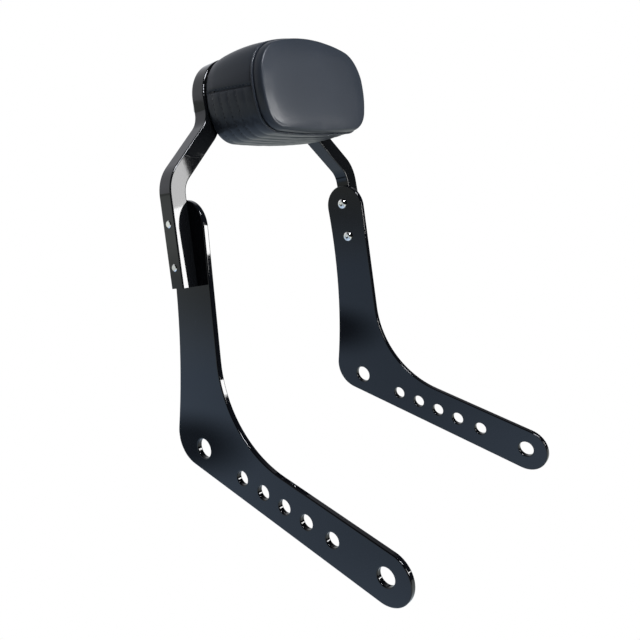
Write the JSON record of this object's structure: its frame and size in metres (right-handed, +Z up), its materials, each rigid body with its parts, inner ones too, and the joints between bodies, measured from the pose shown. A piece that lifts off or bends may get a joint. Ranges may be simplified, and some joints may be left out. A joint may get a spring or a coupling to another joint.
{
  "type": "motorcycle sissy bar",
  "caption": "Bent square steel bar on flat L-shaped side plates with rows of bolt holes, carrying a thick padded passenger backrest with a ribbed lower band.",
  "frame": {"origin": "half way between the two side plates' elbow holes, in the middle of the fender gap", "axes": "+Z up, the rider faces -Y, +X is the rider's left; the bar leans back toward +Y"},
  "size_m": [0.2616, 0.3376, 0.3737],
  "materials": {
    "gloss_black_steel": "gloss black powder coat",
    "screw_steel": "bright plated",
    "cover_vinyl": "satin black vinyl with a fine grain",
    "foam": "open cell foam",
    "base_plastic": "moulded, matt"
  },
  "bodies": {
    "root": {"arch_bar": "gloss_black_steel", "cover_face_panel": "cover_vinyl", "cover_plain_band": "cover_vinyl", "cover_ribbed_band": "cover_vinyl", "cover_staples": "screw_steel", "cover_welt": "cover_vinyl", "foam_core": "foam", "left_lower_plate_screw": "screw_steel", "left_side_plate": "gloss_black_steel", "left_upper_plate_screw": "screw_steel", "lower_left_pad_screw": "screw_steel", "lower_left_pad_washer": "screw_steel", "lower_left_threaded_insert": "screw_steel", "lower_right_pad_screw": "screw_steel", "lower_right_pad_washer": "screw_steel", "lower_right_threaded_insert": "screw_steel", "pad_base": "base_plastic", "right_lower_plate_screw": "screw_steel", "right_side_plate": "gloss_black_steel", "right_upper_plate_screw": "screw_steel", "upper_left_pad_screw": "screw_steel", "upper_left_pad_washer": "screw_steel", "upper_left_threaded_insert": "screw_steel", "upper_right_pad_screw": "screw_steel", "upper_right_pad_washer": "screw_steel", "upper_right_threaded_insert": "screw_steel"}
  },
  "joints": []
}
